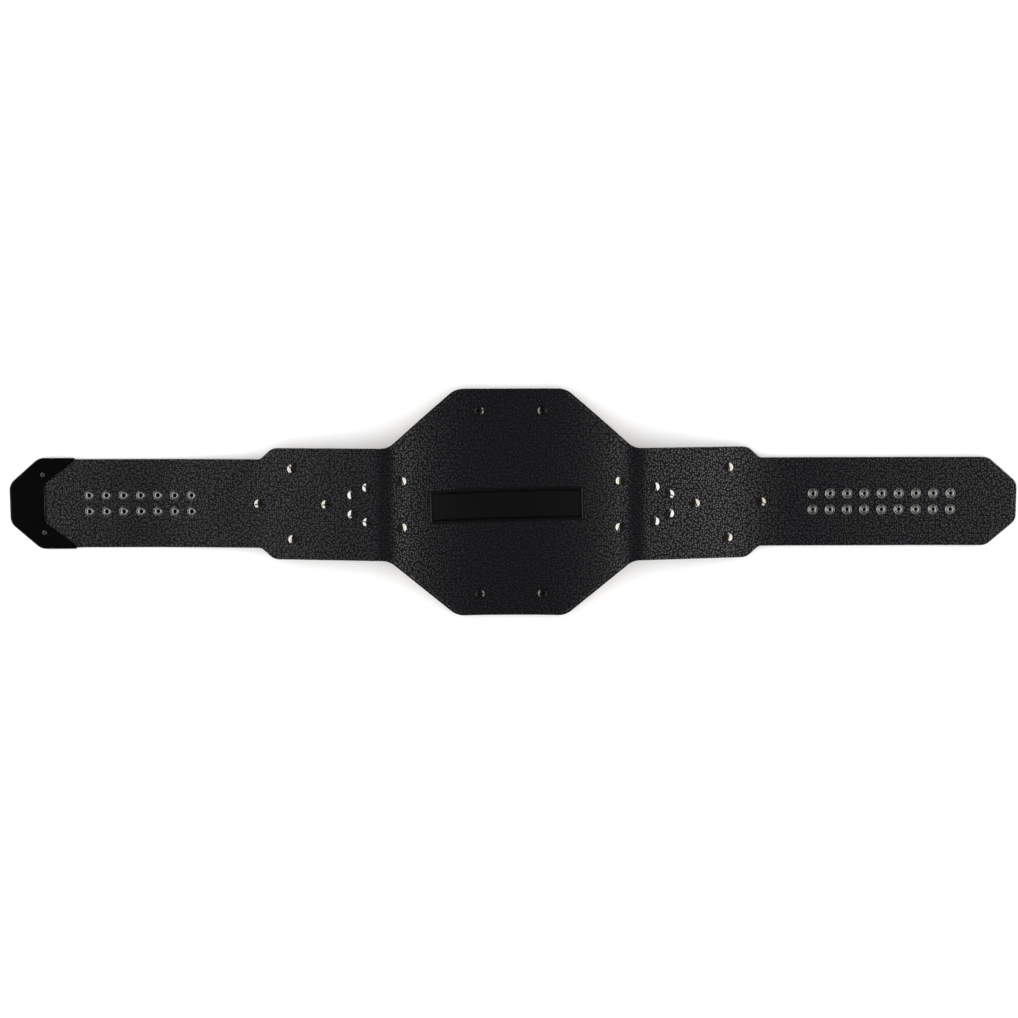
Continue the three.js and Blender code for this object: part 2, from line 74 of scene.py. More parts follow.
class Lie:
    """How the leather's front face lies along its length, smoothed from the frame's faceted strap."""

    probe_across = 17.5 * MM
    probe_step = 0.25 * MM
    same_facet = math.radians(0.15)
    longest_ease = 20 * MM

    def __init__(self, strap):
        x, z, slopes = self.facets(strap)
        lengths = np.hypot(np.diff(x), np.diff(z))
        inner = (slopes * lengths)[1:] + (slopes * lengths)[:-1]
        ends = np.concatenate([slopes[:1], inner / (lengths[1:] + lengths[:-1]), slopes[-1:]])
        ease = np.minimum(lengths / 2, self.longest_ease)
        middles = (slopes * lengths - (ends[1:] + ends[:-1]) * ease / 2) / (lengths - ease)
        breaks = np.concatenate([[0.0], np.cumsum(lengths)])
        breaks -= np.interp(0, x, breaks)
        knots = np.column_stack([breaks[:-1], breaks[:-1] + ease, breaks[1:] - ease]).ravel()
        turns = np.column_stack([ends[:-1], middles, middles]).ravel()
        self.along = np.union1d(np.arange(breaks[0], breaks[-1], self.probe_step), breaks)
        self.slope = np.interp(self.along, np.append(knots, breaks[-1]), np.append(turns, ends[-1]))
        self.x = self.summed(np.cos(self.slope), breaks, x)
        self.z = self.summed(np.sin(self.slope), breaks, z)

    def summed(self, rates, breaks, exact):
        """The sum of small steps along the belt, drawn to the exact places at the facets' ends."""
        steps = np.diff(self.along) * (rates[1:] + rates[:-1]) / 2
        total = np.concatenate([[0.0], np.cumsum(steps)])
        drift = exact - np.interp(breaks, self.along, total)
        return total + np.interp(self.along, breaks, drift)

    def facets(self, strap):
        """The ends of the strap's facets, and the slope of each, seen from below by a row of rays."""
        tree = BVHTree.FromObject(strap, bpy.context.evaluated_depsgraph_get())
        low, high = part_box("strap")
        hits = []
        for x in np.arange(low.x, high.x, self.probe_step):
            place, normal, _, _ = tree.ray_cast(Vector((x, self.probe_across, -1)), Vector((0, 0, 1)))
            if place and normal.z < -0.8:
                hits.append((place.x, place.z, math.atan2(normal.x, -normal.z)))
        hits = np.array(hits)
        breaks = np.flatnonzero(np.abs(np.diff(hits[:, 2])) > self.same_facet) + 1
        middles = np.array([run[len(run) // 2] for run in np.split(hits, breaks) if len(run) > 3])
        places, slopes = middles[:, :2], middles[:, 2]
        ways = np.column_stack([np.cos(slopes), np.sin(slopes)])
        corners = coordinates(strap.data)[:, [0, 2]]
        first = places[0] + ways[0] * ((corners - places[0]) @ ways[0]).min()
        last = places[-1] + ways[-1] * ((corners - places[-1]) @ ways[-1]).max()
        heights = places[:, 1] - np.tan(slopes) * places[:, 0]
        inner = -np.diff(heights) / np.diff(np.tan(slopes))
        levels = heights[1:] + np.tan(slopes[1:]) * inner
        x = np.concatenate([[first[0]], inner, [last[0]]])
        z = np.concatenate([[first[1]], levels, [last[1]]])
        return x, z, slopes

    def front(self, along):
        """x, z and slope of the front face at distances along the belt, straight on past its ends."""
        x, z, slope = [np.interp(along, self.along, values) for values in (self.x, self.z, self.slope)]
        past = along - np.clip(along, self.along[0], self.along[-1])
        return x + past * np.cos(slope), z + past * np.sin(slope), slope

    def bend(self, flat):
        """Flat places, as rows of along, across and out, taken to where they lie."""
        x, z, slope = self.front(flat[:, 0])
        out = flat[:, 2]
        return np.column_stack([x - out * np.sin(slope), flat[:, 1], z + out * np.cos(slope)])

    def under(self, x, z):
        """The distance along the belt from which a place is straight out."""
        near = np.abs(self.x - x) < 30 * MM
        behind = (self.x - x) * np.cos(self.slope) + (self.z - z) * np.sin(self.slope)
        return float(np.interp(0, behind[near], self.along[near]))

    def seat(self, along, across, out, turn=0.0):
        """The matrix of a small upright piece that stands on the leather there."""
        (x, y, z), = self.bend(np.array([[along, across, out]]))
        slope = float(self.front(np.array([along]))[2][0])
        return (
            Matrix.Translation((x, y, z))
            @ Matrix.Rotation(-slope, 4, "Y")
            @ Matrix.Rotation(math.radians(turn), 4, "Z")
        )


lie = Lie(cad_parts["strap"])


# Flat outlines

class Corner(NamedTuple):
    along: float
    across: float
    radius: float = 0.0


def mirrored(corners):
    """The right half of an outline whose left half is given."""
    return [corner._replace(along=-corner.along) for corner in reversed(corners)]


def inset(corners, by):
    """Corners moved inwards from an outline's upper half, which starts and ends on the middle line."""
    places = np.array([corner[:2] for corner in corners])
    ahead = np.diff(places, axis=0)
    ahead /= np.linalg.norm(ahead, axis=1)[:, None]
    inward = np.column_stack([ahead[:, 1], -ahead[:, 0]])
    moved = [corners[0]._replace(along=corners[0].along + by)]
    for corner, before, after in zip(corners[1:-1], inward, inward[1:]):
        shift = (before + after) * by / (1 + before @ after)
        along, across = corner.along + shift[0], corner.across + shift[1]
        moved.append(Corner(along, across, max(corner.radius - by, 0.0)))
    return moved + [corners[-1]._replace(along=corners[-1].along - by)]


def spaced(start, end, spacing):
    """Points from start to just before end, no further apart than the spacing."""
    count = max(1, math.ceil(np.linalg.norm(end - start) / spacing))
    return [start + (end - start) * i / count for i in range(count)]


def rounded_line(corners, spacing, arc_steps=10):
    """The upper line through an outline's corners, from the left end's edge to the right end's."""
    stops = []
    places = [np.array(corner[:2]) for corner in corners]
    for before, here, after, corner in zip(places, places[1:], places[2:], corners[1:]):
        back, ahead = before - here, after - here
        back_length, ahead_length = np.linalg.norm(back), np.linalg.norm(ahead)
        back, ahead = back / back_length, ahead / ahead_length
        turn = math.pi - math.acos(np.clip(back @ ahead, -1, 1))
        set_back = min(corner.radius * math.tan(turn / 2), 0.49 * min(back_length, ahead_length))
        if set_back < 1e-6:
            stops.append([here])
            continue
        radius = set_back / math.tan(turn / 2)
        side = math.copysign(1, back[0] * ahead[1] - back[1] * ahead[0])
        centre = here + back * set_back + side * radius * np.array([-back[1], back[0]])
        spoke = here + back * set_back - centre
        angles = np.linspace(0, -side * turn, arc_steps + 1)
        stops.append([
            centre + np.array([
                spoke[0] * math.cos(a) - spoke[1] * math.sin(a),
                spoke[0] * math.sin(a) + spoke[1] * math.cos(a),
            ])
            for a in angles
        ])
    line = list(stops[0])
    for arc in stops[1:]:
        line += spaced(line[-1], arc[0], spacing)[1:]
        line += arc
    return np.array(line)


class Sides(NamedTuple):
    """A closed outline in four runs, clockwise: top and bottom have their corners, the others don't."""

    top: np.ndarray
    right: np.ndarray
    bottom: np.ndarray
    left: np.ndarray


def sides_of(corners, spacing, columns):
    """The sides of an outline that is the same above and below the middle line."""
    top = rounded_line(corners, spacing)
    bottom = top[::-1] * (1, -1)
    share = np.linspace(0, 1, columns + 2)[1:-1, None]
    right = top[-1] + (bottom[0] - top[-1]) * share
    left = bottom[-1] + (top[0] - bottom[-1]) * share
    return Sides(top, right, bottom, left)


def disc_sides(radius, points, middle=0.0):
    """A circle as four quarter runs."""
    angles = math.radians(135) - np.arange(4 * points) * math.pi / (2 * points)
    loop = radius * np.column_stack([np.cos(angles), np.sin(angles)]) + (middle, 0)
    q = points
    return Sides(loop[:q + 1], loop[q + 1:2 * q], loop[2 * q:3 * q + 1], loop[3 * q + 1:])


# Flat meshes

def dense(profile, step):
    """A profile of insets and levels with no step between them longer than that."""
    rows = []
    for start, end in zip(profile, profile[1:]):
        rows += spaced(np.array(start, float), np.array(end, float), step)
    return rows + [np.array(profile[-1], float)]


def slab(sides, profile):
    """A flat closed body of an outline. Its profile lists insets from the outline and levels, from
    the underside's inner edge, round the outline's edge, to the top's inner edge."""
    top, right, bottom, left = sides
    loop = np.concatenate(sides)
    ahead = np.roll(loop, -1, axis=0) - loop
    ahead /= np.linalg.norm(ahead, axis=1)[:, None]
    after = np.column_stack([ahead[:, 1], -ahead[:, 0]])
    before = np.roll(after, 1, axis=0)
    inward = (before + after) / (1 + np.sum(before * after, axis=1))[:, None]
    rings = [np.column_stack([loop + inward * by, np.full(len(loop), level)]) for by, level in profile]
    count = len(loop)
    faces = [
        (r * count + j, (r + 1) * count + j, (r + 1) * count + (j + 1) % count, r * count + (j + 1) % count)
        for r in range(len(rings) - 1)
        for j in range(count)
    ]
    points = list(rings)
    used = len(rings) * count
    rows, columns = len(top), len(right)
    for ring, first in ((rings[0], 0), (rings[-1], (len(rings) - 1) * count)):
        names, added = fill(ring, first, used, rows, columns)
        points.append(added)
        used += len(added)
        quads = [
            (names[i, c], names[i, c + 1], names[i + 1, c + 1], names[i + 1, c])
            for i in range(rows - 1)
            for c in range(columns + 1)
        ]
        faces += quads if first else [quad[::-1] for quad in quads]
    return np.concatenate(points), faces


def fill(ring, first, used, rows, columns):
    """Numbers the points of the grid inside a ring, and works out those that the ring lacks."""
    top = np.arange(rows)
    right = np.arange(rows, rows + columns)
    bottom = np.arange(rows + columns, 2 * rows + columns)[::-1]
    left = np.arange(2 * rows + columns, 2 * rows + 2 * columns)[::-1]
    names = np.zeros((rows, columns + 2), int)
    names[:, 0], names[:, -1] = first + top, first + bottom
    names[0, 1:-1], names[-1, 1:-1] = first + left, first + right
    names[1:-1, 1:-1] = used + np.arange((rows - 2) * columns).reshape(rows - 2, columns)
    u = np.linspace(0, 1, rows)[1:-1, None, None]
    v = np.linspace(0, 1, columns + 2)[None, 1:-1, None]
    upper, lower = ring[top][1:-1, None], ring[bottom][1:-1, None]
    start, end = ring[left][None], ring[right][None]
    corner = ring[[0, rows - 1, bottom[0], bottom[-1]]]
    straight = (
        (1 - u) * ((1 - v) * corner[0] + v * corner[2]) + u * ((1 - v) * corner[1] + v * corner[3])
    )
    grid = (1 - v) * upper + v * lower + (1 - u) * start + u * end - straight
    return names, grid.reshape(-1, 3)


def lathe(profile, segments):
    """An upright turned body, from its profile of radius and height, from one end of its axis."""
    rings = profile[1:-1]
    angles = np.arange(segments) * 2 * math.pi / segments
    points = [(0.0, 0.0, profile[0][1])]
    for radius, height in rings:
        points += [(radius * math.cos(a), radius * math.sin(a), height) for a in angles]
    points.append((0.0, 0.0, profile[-1][1]))
    last = len(points) - 1
    faces = []
    for j in range(segments):
        k = (j + 1) % segments
        faces.append((0, 1 + k, 1 + j))
        for r in range(len(rings) - 1):
            low, high = 1 + r * segments, 1 + (r + 1) * segments
            faces.append((low + j, low + k, high + k, high + j))
        top = 1 + (len(rings) - 1) * segments
        faces.append((last, top + j, top + k))
    return np.array(points), faces


def mesh_of(name, points, faces):
    mesh = bpy.data.meshes.new(name)
    mesh.from_pydata([tuple(p) for p in points], [], [tuple(int(i) for i in f) for f in faces])
    mesh.validate()
    return mesh


def cut(mesh, cutters, bevel=None):
    """A flat mesh with others taken out of it, and the edges that this leaves bevelled."""
    body = bpy.data.objects.new("cut_body", mesh)
    tool = bpy.data.objects.new("cut_tool", join(cutters))
    for obj in (body, tool):
        bpy.context.scene.collection.objects.link(obj)
    boolean = body.modifiers.new("cut", "BOOLEAN")
    boolean.object = tool
    boolean.operation = "DIFFERENCE"
    boolean.solver = "MANIFOLD"
    if bevel:
        rounding = body.modifiers.new("bevel", "BEVEL")
        rounding.width = bevel
        rounding.segments = 3
        rounding.limit_method = "ANGLE"
        rounding.angle_limit = math.radians(50)
    bpy.context.view_layer.update()
    depsgraph = bpy.context.evaluated_depsgraph_get()
    result = bpy.data.meshes.new_from_object(body.evaluated_get(depsgraph))
    for obj in (body, tool):
        bpy.data.objects.remove(obj)
    if not result.vertices:
        raise RuntimeError(f"nothing is left of {mesh.name} after the cut")
    result.materials.clear()
    return result


def join(meshes):
    """One mesh that holds several."""
    joined = bmesh.new()
    for mesh in meshes:
        joined.from_mesh(mesh)
    whole = bpy.data.meshes.new("joined")
    joined.to_mesh(whole)
    joined.free()
    return whole


def bend_mesh(mesh):
    mesh.vertices.foreach_set("co", lie.bend(coordinates(mesh)).ravel())
    mesh.update()


def in_two(mesh, plain, other, is_other):
    """Gives a mesh its plain material, and the other one on the faces whose middle asks for it."""
    for material in (plain, other):
        mesh.materials.append(material)
    for polygon in mesh.polygons:
        polygon.material_index = int(is_other(*polygon.center))


def add_piece(name, mesh, nodes, sharp=35.0, matrix=None):
    """A finished piece that rides on the belt and stands for nodes of the frame."""
    piece = bpy.data.objects.new(name, mesh)
    bpy.context.scene.collection.objects.link(piece)
    if matrix is not None:
        piece.matrix_world = matrix
    mesh.shade_smooth()
    mesh.set_sharp_from_angle(angle=math.radians(sharp))
    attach(piece, "root")
    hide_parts(*nodes)


# Sizes and colours

def length(name, description, millimetres):
    return bpy.props.FloatProperty(
        name=name, description=description, default=millimetres * MM, min=0.0, precision=5,
        subtype="DISTANCE", unit="LENGTH",
    )


def position(name, description, metres):
    """A distance that may be negative."""
    return bpy.props.FloatProperty(name=name, description=description, default=metres, unit="LENGTH")


def angle(name, description, degrees):
    return bpy.props.FloatProperty(
        name=name, description=description, default=math.radians(degrees), subtype="ANGLE"
    )


def power(name, description, watts):
    return bpy.props.FloatProperty(name=name, description=description, default=watts, unit="POWER")


def colour(name, description, value):
    return bpy.props.FloatVectorProperty(
        name=name, description=description, default=value, size=4, min=0.0, max=1.0, subtype="COLOR",
    )


class BeltLeather(bpy.types.PropertyGroup):
    """The cut and finish of the leather."""

    panel_top_half: length("Panel Top", "Half the length of the panel's straight top edge", 72.5)
    panel_foot: length("Panel Foot", "From the belt's middle to where the panel meets a shoulder", 164)
    shoulder_half: length("Shoulder Half", "Half the height of a shoulder", 73.3)
    shoulder_end: length("Shoulder End", "From the belt's middle to a shoulder's outer corner", 317.5)
    tail_start: length("Tail Start", "From the belt's middle to where a tail begins", 334)
    tail_half: length("Tail Half", "Half the height of a tail", 58.5)
    end_flat_half: length("End Half", "Half the height of a tail's square end", 25)
    end_chamfer: length("End Chamfer", "Length of the slanted corners of a tail's end", 38.5)
    thickness: length("Thickness", "Thickness of the leather", 3)
    crease_inset: length("Crease Inset", "From the edge to the creased line", 3.9)
    crease_depth: length("Crease Depth", "Depth of the creased line", 0.3)
    wave_height: length("Wave Height", "Height of the leather's slow unevenness", 0.12)
    grain: length("Grain", "Size of a pebble of the grain", 3.0)
    black: colour("Leather", "Colour of the leather", (0.0042, 0.0044, 0.0052, 1))
    # The crests' lighter colour is partly wear and partly a painted highlight.
    worn_and_highlight: colour("Grain Crests", "Colour of the crests of the grain", (0.006, 0.0062, 0.0074, 1))


class BeltLabel(bpy.types.PropertyGroup):
    """The bare patch near the belt's middle."""

    length: length("Length", "Length of the patch", 206)
    height: length("Height", "Height of the patch", 44.6)
    along: position("Along", "Place of the patch along the belt", -6 * MM)
    across: position("Across", "Place of the patch across the belt", -2.7 * MM)
    tilt: angle("Tilt", "Slant of the patch", 1.5)
    sunk: length("Sunk", "How far the patch lies below the leather's back", 0.3)
    thickness: length("Thickness", "Thickness of the patch", 0.7)
    black: colour("Patch", "Colour of the patch", (0.0026, 0.0026, 0.003, 1))


class BeltMetal(bpy.types.PropertyGroup):
    """The plates, the tip cap, the screws and the press fasteners."""

    gap: length("Gap", "Clearance between the leather and what lies on it", 0.3)
    plate_margin: length("Plate Margin", "From the panel's edge to the centre plate's", 10.8)
    plate_thickness: length("Plate Thickness", "Thickness of the centre plate", 3.5)
    plate_relief: length("Plate Relief", "Height of the centre plate's raised parts", 2.5)
    rim: length("Rim", "Width of the centre plate's rim", 9)
    medallion: length("Medallion", "Radius of the centre plate's medallion", 62)
    boss: length("Boss", "Radius of the medallion's boss", 22)
    side_middle: length("Side Plate Place", "From the belt's middle to a side plate's", 290.7)
    bar_middle: length("Bar Plate Place", "From the belt's middle to a bar plate's", 199.9)
    cap_length: length("Cap Length", "Length of the tip cap", 86)
    cap_wall: length("Cap Wall", "Thickness of the tip cap's walls", 1.4)
    notch_depth: length("Notch Depth", "Depth of the tip cap's notch", 40)
    notch_end_half: length("Notch End", "Half the height of the notch's inner end", 26)
    screw_radius: length("Screw Radius", "Radius of a plate screw's head", 5.9)
    screw_height: length("Screw Height", "Height of a plate screw's dome", 2.4)
    slot_width: length("Slot Width", "Width of a plate screw's slot", 1.5)
    gold: colour("Gold", "Colour of the plates", (0.76, 0.5, 0.17, 1))
    nickel: colour("Nickel", "Colour of the plates' screws", (0.6, 0.55, 0.49, 1))
    # A lighter, cooler copy of the nickel, as a painted highlight on the bar plates' screws.
    lit_nickel: colour("Lit Nickel", "Colour of the bar plates' screws", (0.68, 0.67, 0.66, 1))
    # A darker copy of the nickel, as painted shade on the panel's outer screws and the tip cap's screws.
    shaded_nickel: colour("Shaded Nickel", "Colour of the panel's outer screws", (0.24, 0.22, 0.2, 1))
    # Painted shade: the dark colour of the screw slots, the tip screws' middles and the fasteners' holes and
    # grooves.
    hollow_shade: colour("Hollow Shade", "Colour of the dirt in slots and grooves", (0.02, 0.018, 0.016, 1))
    snap_nickel: colour("Snap Nickel", "Colour of the press fasteners", (0.62, 0.6, 0.57, 1))
    cap_black: colour("Cap", "Colour of the tip cap", (0.002, 0.002, 0.0022, 1))


class BeltStage(bpy.types.PropertyGroup):
    """The floor, the light and the camera."""

    distance: position("Distance", "Height of the camera", 2.0)
    lean: angle("Lean", "How far the camera stands off the vertical", 5.7)
    roll: angle("Roll", "Turn of the picture", 0.17)
    view_width: position("View Width", "Width of the picture at the floor", 1.341)
    aim_x: position("Aim X", "Place at the middle of the picture", -0.0026)
    aim_y: position("Aim Y", "Place at the middle of the picture", -0.0095)
    left_light: position("Left Light", "Place of the left softbox", -1.94)
    right_light: position("Right Light", "Place of the right softbox", 2.0)
    light_height: position("Light Height", "Height of the softboxes", 0.85)
    fill_height: position("Fill Height", "Height of the overhead fill", 3.2)
    side_light: power("Side Light", "Power of each softbox at the belt's ends", 23)
    top_light: power("Top Light", "Power of the overhead fill", 680)
    floor_half: position("Floor Half", "Half the side of the floor", 7.0)
    walls: bpy.props.FloatProperty(
        name="Walls", description="Brightness of the room near the horizon", default=0.8, min=0)
    ceiling: bpy.props.FloatProperty(
        name="Ceiling", description="Brightness of the room overhead", default=0.02, min=0)
    floor: colour("Floor", "Colour of the floor", (0.96, 0.96, 0.96, 1))


def settings():
    scene = bpy.context.scene
    return scene.belt_leather, scene.belt_label, scene.belt_metal, scene.belt_stage


# Materials

class Nodes:
    """A material with a principled shader, and short calls that add nodes to it."""

    def __init__(self, name, base, roughness, metallic=0.0):
        self.material = bpy.data.materials.new(name)
        self.material.use_nodes = True
        self.tree = self.material.node_tree
        self.shader = self.tree.nodes["Principled BSDF"]
        self.shader.inputs["Base Color"].default_value = base
        self.shader.inputs["Roughness"].default_value = roughness
        self.shader.inputs["Metallic"].default_value = metallic

    def add(self, kind, links=None, **values):
        node = self.tree.nodes.new(kind)
        for key, value in values.items():
            if key in node.inputs:
                node.inputs[key].default_value = value
            else:
                setattr(node, key, value)
        for socket, source in (links or {}).items():
            self.tree.links.new(source, node.inputs[socket])
        return node

    def link(self, source, socket):
        self.tree.links.new(source, self.shader.inputs[socket])

    def noise(self, place, scale, detail):
        return self.add("ShaderNodeTexNoise", {"Vector": place}, Scale=scale, Detail=detail)

    def bump(self, height, strength, distance):
        bump = self.add("ShaderNodeBump", {"Height": height}, Strength=strength, Distance=distance)
        self.link(bump.outputs["Normal"], "Normal")

    def shade(self, factor, low, high):
        """Colours the surface from one colour to another."""
        mix = self.add("ShaderNodeMix", {"Factor": factor}, data_type="RGBA")
        mix.inputs["A"].default_value = tuple(low)
        mix.inputs["B"].default_value = tuple(high)
        self.link(mix.outputs["Result"], "Base Color")

    def place(self):
        return self.add("ShaderNodeTexCoord").outputs["Object"]

    def ranged(self, source, before, after, smooth=False):
        """A value taken from one range to another."""
        node = self.add("ShaderNodeMapRange", {"Value": source})
        node.interpolation_type = "SMOOTHSTEP" if smooth else "LINEAR"
        for name, value in zip(("From Min", "From Max", "To Min", "To Max"), (*before, *after)):
            node.inputs[name].default_value = value
        return node.outputs["Result"]


def leather_material(leather):
    """Black pebbled leather: rounded pebbles with shiny crests and matt creases between them. The crests'
    lighter colour is partly wear and partly a painted highlight.
    """
    nodes = Nodes("pebbled_leather", tuple(leather.black), 0.34)
    place = nodes.place()
    stretched = nodes.add("ShaderNodeMapping", {"Vector": place})
    stretched.inputs["Scale"].default_value = (1.0, 0.88, 1.0)
    place = stretched.outputs["Vector"]
    drift = nodes.noise(place, 0.6 / leather.grain, 0.0)
    wander = nodes.add("ShaderNodeVectorMath", {0: drift.outputs["Color"]}, operation="SCALE")
    wander.inputs["Scale"].default_value = leather.grain * 0.6
    moved = nodes.add("ShaderNodeVectorMath", {0: place, 1: wander.outputs["Vector"]}, operation="ADD")
    pebbles = nodes.add(
        "ShaderNodeTexVoronoi", {"Vector": moved.outputs["Vector"]},
        voronoi_dimensions="2D", Scale=1 / leather.grain, Randomness=0.8,
    )
    tops = nodes.ranged(pebbles.outputs["Distance"], (0.0, 0.62), (1.0, 0.0), smooth=True)
    pores = nodes.noise(place, 4 / leather.grain, 3.0)
    height = nodes.add("ShaderNodeMath", {0: pores.outputs["Fac"], 2: tops}, operation="MULTIPLY_ADD")
    height.inputs[1].default_value = 0.08
    nodes.bump(height.outputs["Value"], 1.0, 0.18 * MM)
    wear = nodes.ranged(pebbles.outputs["Color"], (0.25, 0.75), (0.7, 1.0))
    crests = nodes.ranged(tops, (0.45, 1.0), (0.0, 1.0))
    worn_and_highlight = nodes.add("ShaderNodeMath", {0: wear, 1: crests}, operation="MULTIPLY").outputs["Value"]
    # The crests are coloured lighter, partly as wear and partly as a painted highlight.
    nodes.shade(worn_and_highlight, leather.black, leather.worn_and_highlight)
    nodes.link(nodes.ranged(worn_and_highlight, (0.0, 1.0), (0.36, 0.24)), "Roughness")
    nodes.link(nodes.ranged(worn_and_highlight, (0.0, 1.0), (0.06, 1.0)), "Specular IOR Level")
    nodes.shader.inputs["IOR"].default_value = 2.3
    return nodes.material


def label_material(label):
    nodes = Nodes("smooth_patch", tuple(label.black), 0.32)
    fine = nodes.noise(nodes.place(), 900.0, 4.0)
    nodes.bump(fine.outputs["Fac"], 0.18, 0.2 * MM)
    return nodes.material


def cap_material(metal):
    nodes = Nodes("gloss_black_cap", tuple(metal.cap_black), 0.1)
    place = nodes.place()
    ripple = nodes.noise(place, 45.0, 2.0)
    nodes.bump(ripple.outputs["Fac"], 0.12, 0.6 * MM)
    wear = nodes.noise(place, 120.0, 5.0)
    nodes.link(nodes.ranged(wear.outputs["Fac"], (0.0, 1.0), (0.06, 0.16)), "Roughness")
    nodes.shader.inputs["Specular IOR Level"].default_value = 0.1
    return nodes.material


def lip_material(metal):
    """The lip at the end of the cap's notch: bare metal at its middle, fading to black towards its ends,
    partly from rubbing and partly as a painted highlight.
    """
    nodes = Nodes("rubbed_and_highlit_cap_lip", tuple(metal.cap_black), 0.3, metallic=1.0)
    place = nodes.add("ShaderNodeSeparateXYZ", {"Vector": nodes.place()})
    away = nodes.add("ShaderNodeMath", {0: place.outputs["Y"]}, operation="ABSOLUTE")
    # Brightest at the lip's middle: partly rubbing, partly a painted highlight.
    rubbed_and_highlight = nodes.ranged(away.outputs["Value"], (0.0, metal.notch_end_half), (1.0, 0.1))
    nodes.shade(rubbed_and_highlight, metal.cap_black, metal.nickel)
    return nodes.material


def metal_material(name, base, low, high):
    """A metal whose roughness wanders between two values, with hairline scratches."""
    nodes = Nodes(name, tuple(base), low, metallic=1.0)
    wear = nodes.noise(nodes.place(), 700.0, 4.0)
    nodes.link(nodes.ranged(wear.outputs["Fac"], (0.0, 1.0), (low, high)), "Roughness")
    nodes.bump(wear.outputs["Fac"], 0.06, 0.2 * MM)
    return nodes.material


def field_material(metal):
    nodes = Nodes("stippled_gold", tuple(metal.gold), 0.42, metallic=1.0)
    dots = nodes.add(
        "ShaderNodeTexVoronoi", {"Vector": nodes.place()}, Scale=650.0, feature="SMOOTH_F1"
    )
    nodes.bump(dots.outputs["Distance"], 0.6, 0.4 * MM)
    return nodes.material


# Strap and label

def strap_corners(leather):
    """The upper half of the strap's outline, from its left end to its right one."""
    left, right = lie.along[0], lie.along[-1]
    panel_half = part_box("strap")[1].y
    panel = [
        Corner(-leather.tail_start, leather.tail_half, 10 * MM),
        Corner(-leather.shoulder_end, leather.shoulder_half, 18 * MM),
        Corner(-leather.panel_foot, leather.shoulder_half, 24 * MM),
        Corner(-leather.panel_top_half, panel_half, 28 * MM),
    ]
    return [
        Corner(left, 0),
        Corner(left, leather.end_flat_half, 16 * MM),
        Corner(left + leather.end_chamfer, leather.tail_half, 17 * MM),
        *panel,
        *mirrored(panel),
        Corner(right - leather.end_chamfer, leather.tail_half, 17 * MM),
        Corner(right, leather.end_flat_half, 16 * MM),
        Corner(right, 0),
    ]


def edge_profile(leather):
    """From the leather's front, round its rounded edge, to its back with the creased line."""
    t, crease, depth = leather.thickness, leather.crease_inset, leather.crease_depth
    rows = [
        (8, 0), (4, 0), (1.6, 0.02), (0.8, 0.12), (0.3, 0.4), (0.05, 0.8), (0, 1.3),
    ]
    low = [(inset_by * MM, level * MM) for inset_by, level in rows]
    high = [
        (0.0, t - 1.1 * MM), (0.1 * MM, t - 0.7 * MM), (0.4 * MM, t - 0.35 * MM),
        (0.9 * MM, t - 0.12 * MM), (1.6 * MM, t - 0.02 * MM), (2.4 * MM, t),
        (crease - 0.7 * MM, t), (crease - 0.35 * MM, t - 0.6 * depth), (crease, t - depth),
        (crease + 0.35 * MM, t - 0.6 * depth), (crease + 0.7 * MM, t), (crease + 1.6 * MM, t),
        (8 * MM, t),
    ]
    return low + high


def waves(flat, height):
    """Slow unevenness of the leather, the same on both of its faces."""
    along, across = flat[:, 0], flat[:, 1]
    ripple = (
        np.sin(along * 61 + 1.3) * np.cos(across * 47 + 0.4)
        + 0.6 * np.sin(along * 113 - across * 71 + 2.1)
        + 0.4 * np.sin(along * 37 + across * 139)
    )
    return height * ripple / 2


def hole(place, radius):
    """A drill through the leather, as a flat mesh."""
    profile = [(0, -3 * MM), (radius, -3 * MM), (radius, 8 * MM), (0, 8 * MM)]
    points, faces = lathe(profile, 24)
    return mesh_of("drill", points + (*place, 0), faces)


def flat_place(node):
    """Where a small node of the frame sits on the flat belt."""
    middle = sum(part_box(node), Vector()) / 2
    return lie.under(middle.x, middle.z), middle.y


def nodes_named(*starts):
    return sorted(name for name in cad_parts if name.startswith(starts))


def label_sides(label, margin):
    half = label.length / 2 + margin
    top = label.height / 2 + margin
    corners = [Corner(-half, 0), Corner(-half, top), Corner(half, top), Corner(half, 0)]
    return sides_of(corners, 3 * MM, 14)


def lay_label(points, label):
    """The label's own flat points, slanted and shifted to its place on the belt."""
    cos, sin = math.cos(label.tilt), math.sin(label.tilt)
    along = label.along + points[:, 0] * cos - points[:, 1] * sin
    across = label.across + points[:, 0] * sin + points[:, 1] * cos
    return np.column_stack([along, across, points[:, 2]])


class BELT_OT_make_strap(bpy.types.Operator):
    """Make the leather strap, with its creased edge, its holes and the label's recess"""

    bl_idname = "belt.make_strap"
    bl_label = "Make Strap"

    def execute(self, context):
        leather, label, metal, _ = settings()
        t = leather.thickness
        points, faces = slab(sides_of(strap_corners(leather), 3 * MM, 30), edge_profile(leather))
        points[:, 2] += waves(points, leather.wave_height)
        cutters = [
            hole(flat_place(node), 2.8 * MM)
            for node in nodes_named("socket", "stud")
        ]
        cutters += [
            hole(flat_place(node), 2.3 * MM)
            for node in nodes_named("centre_screw", "left_screw", "right_screw")
        ]
        floor = t - label.sunk - label.thickness - metal.gap
        recess, recess_faces = slab(
            label_sides(label, 0.15 * MM), [(4 * MM, floor), (0, floor), (0, t + MM), (4 * MM, t + MM)]
        )
        cutters.append(mesh_of("recess", lay_label(recess, label), recess_faces))
        mesh = cut(mesh_of("strap_leather", points, faces), cutters)
        bend_mesh(mesh)
        mesh.materials.append(leather_material(leather))
        add_piece("leather_strap", mesh, ["strap"])
        return {"FINISHED"}


